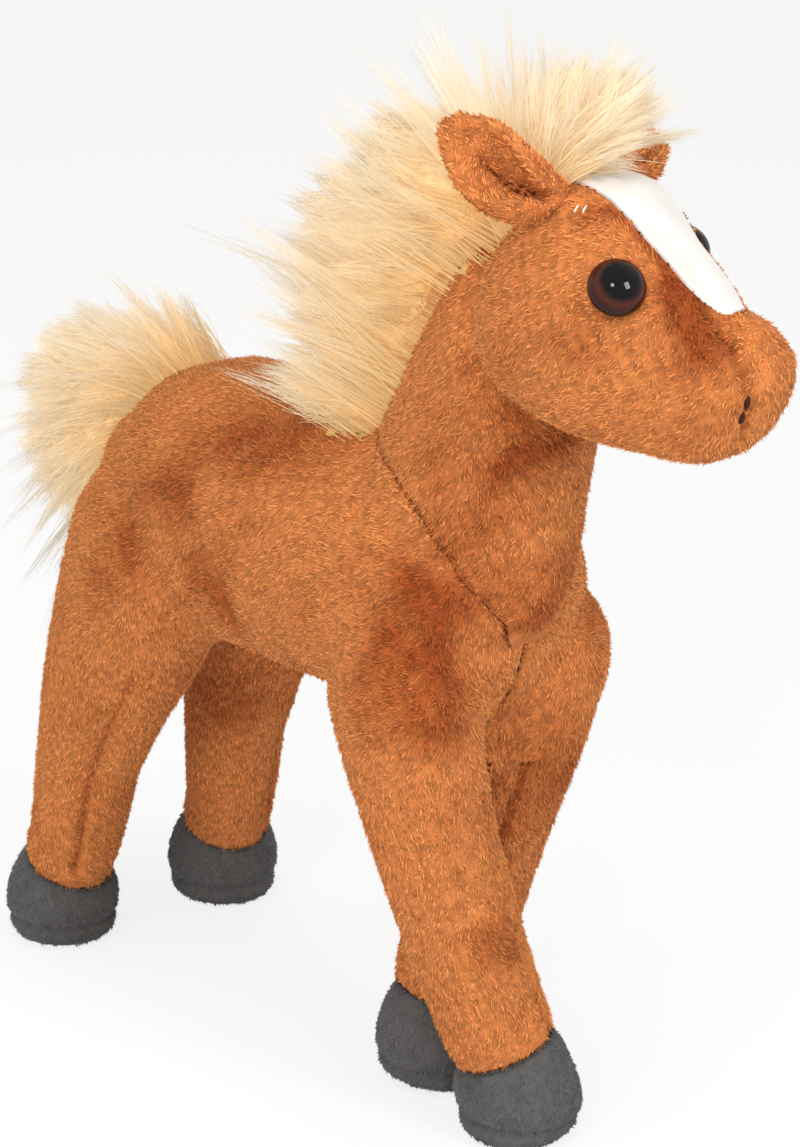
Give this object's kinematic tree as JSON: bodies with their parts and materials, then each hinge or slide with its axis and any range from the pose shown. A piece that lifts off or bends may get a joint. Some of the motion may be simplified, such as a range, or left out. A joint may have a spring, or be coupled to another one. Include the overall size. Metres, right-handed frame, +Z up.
{
  "type": "plush toy horse",
  "caption": "Standing soft plush foal with a cream fur mane and tail, a white blaze, domed plastic eyes and grey plush hooves.",
  "frame": {"origin": "middle of the bounding box on the floor that the hooves stand on", "axes": "+X towards the nose, +Y to the foal's left, +Z up"},
  "size_m": [0.3066, 0.0884, 0.2873],
  "materials": {
    "brown_plush": "short pile",
    "white_plush": "short smooth pile",
    "grey_plush": "short pile",
    "cream_fur": "long faux fur",
    "fur_backing": "knitted backing",
    "fibre_stuffing": "loose fibre",
    "eye_plastic": "gloss",
    "washer_plastic": "matte",
    "dark_thread": "thread"
  },
  "bodies": {
    "torso": {"side_panel_right": "brown_plush", "side_panel_left": "brown_plush", "belly_gusset": "brown_plush", "body_stuffing": "fibre_stuffing", "neck_cover": "brown_plush", "neck_stuffing": "fibre_stuffing", "mane_backing": "fur_backing", "mane_fur": "cream_fur"},
    "head": {"head_panel_right": "brown_plush", "head_panel_left": "brown_plush", "blaze_gusset": "white_plush", "head_stuffing": "fibre_stuffing", "eye_right": "eye_plastic", "eye_washer_right": "washer_plastic", "eye_left": "eye_plastic", "eye_washer_left": "washer_plastic", "nostril_stitch_right": "dark_thread", "nostril_stitch_left": "dark_thread", "forelock_fur": "cream_fur"},
    "ear_right": {"ear_back_right": "brown_plush", "ear_lining_right": "brown_plush"},
    "ear_left": {"ear_back_left": "brown_plush", "ear_lining_left": "brown_plush"},
    "tail": {"tail_fur": "cream_fur", "tail_tape": "fur_backing"},
    "front_right_leg": {"front_right_leg_cover": "brown_plush", "front_right_leg_stuffing": "fibre_stuffing", "front_right_hoof_cover": "grey_plush", "front_right_hoof_sole": "grey_plush"},
    "front_left_leg": {"front_left_leg_cover": "brown_plush", "front_left_leg_stuffing": "fibre_stuffing", "front_left_hoof_cover": "grey_plush", "front_left_hoof_sole": "grey_plush"},
    "hind_right_leg": {"hind_right_leg_cover": "brown_plush", "hind_right_leg_stuffing": "fibre_stuffing", "hind_right_hoof_cover": "grey_plush", "hind_right_hoof_sole": "grey_plush"},
    "hind_left_leg": {"hind_left_leg_cover": "brown_plush", "hind_left_leg_stuffing": "fibre_stuffing", "hind_left_hoof_cover": "grey_plush", "hind_left_hoof_sole": "grey_plush"}
  },
  "joints": [
    {"name": "head_nod", "type": "hinge", "parent": "torso", "child": "head", "pos_m": [0.10492, 0.00048, 0.235], "axis": [-0.4067, 0.9135, 0], "range_deg": [-10, 10], "stiffness_Nm_per_rad": 0.6},
    {"name": "ear_right_flop", "type": "hinge", "parent": "head", "child": "ear_right", "pos_m": [0.10879, -0.01501, 0.25889], "axis": [-0.5582, 0.7053, 0.4371], "range_deg": [-15, 15], "stiffness_Nm_per_rad": 0.02},
    {"name": "ear_left_flop", "type": "hinge", "parent": "head", "child": "ear_left", "pos_m": [0.09602, 0.01375, 0.2588], "axis": [-0.1786, 0.8639, -0.471], "range_deg": [-15, 15], "stiffness_Nm_per_rad": 0.02},
    {"name": "tail_lift", "type": "hinge", "parent": "torso", "child": "tail", "pos_m": [-0.07308, 0.00048, 0.169], "axis": [0, 1, 0], "range_deg": [-20, 20], "stiffness_Nm_per_rad": 0.15},
    {"name": "front_right_swing", "type": "hinge", "parent": "torso", "child": "front_right_leg", "pos_m": [0.06092, -0.02252, 0.126], "axis": [0, 1, 0], "range_deg": [-12, 0], "stiffness_Nm_per_rad": 1},
    {"name": "front_left_swing", "type": "hinge", "parent": "torso", "child": "front_left_leg", "pos_m": [0.06092, 0.02348, 0.126], "axis": [0, 1, 0], "range_deg": [0, 12], "stiffness_Nm_per_rad": 1},
    {"name": "hind_right_swing", "type": "hinge", "parent": "torso", "child": "hind_right_leg", "pos_m": [-0.05108, -0.02052, 0.133], "axis": [0, 1, 0], "range_deg": [-12, 12], "stiffness_Nm_per_rad": 1},
    {"name": "hind_left_swing", "type": "hinge", "parent": "torso", "child": "hind_left_leg", "pos_m": [-0.05108, 0.02148, 0.133], "axis": [0, 1, 0], "range_deg": [-12, 12], "stiffness_Nm_per_rad": 1}
  ]
}
